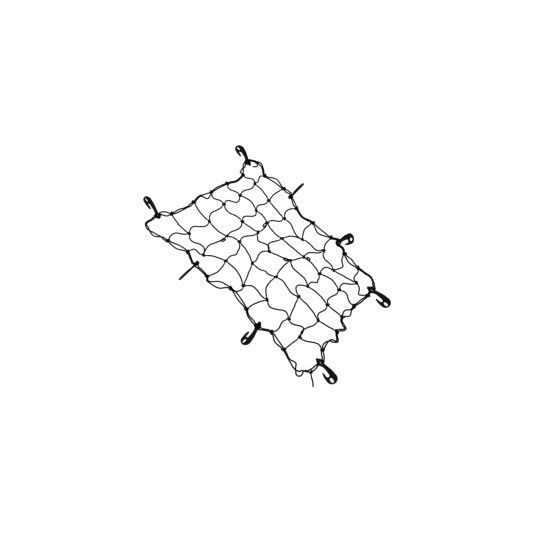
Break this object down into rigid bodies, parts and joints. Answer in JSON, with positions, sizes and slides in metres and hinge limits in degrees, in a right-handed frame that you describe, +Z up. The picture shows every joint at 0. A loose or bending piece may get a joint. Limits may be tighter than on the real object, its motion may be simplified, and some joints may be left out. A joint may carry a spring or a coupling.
{
  "type": "cargo net",
  "caption": "Slack knotted net of elastic cord with a laced border cord, and flat moulded hooks with long eyes threaded on its edge.",
  "frame": {"origin": "on the surface, under the middle of the whole thing as it lies", "axes": "+X along the net, +Y across it, +Z up"},
  "size_m": [0.8008, 0.4729, 0.077],
  "materials": {
    "elastic_cord": "matt braid",
    "moulded_plastic": "satin"
  },
  "bodies": {
    "root": {"web": "elastic_cord", "border_cord": "elastic_cord", "hook_corner_1": "moulded_plastic", "hook_corner_2": "moulded_plastic", "hook_corner_3": "moulded_plastic", "hook_corner_4": "moulded_plastic", "hook_side_1": "moulded_plastic", "hook_side_2": "moulded_plastic", "hook_side_3": "moulded_plastic", "hook_side_4": "moulded_plastic"}
  },
  "joints": []
}
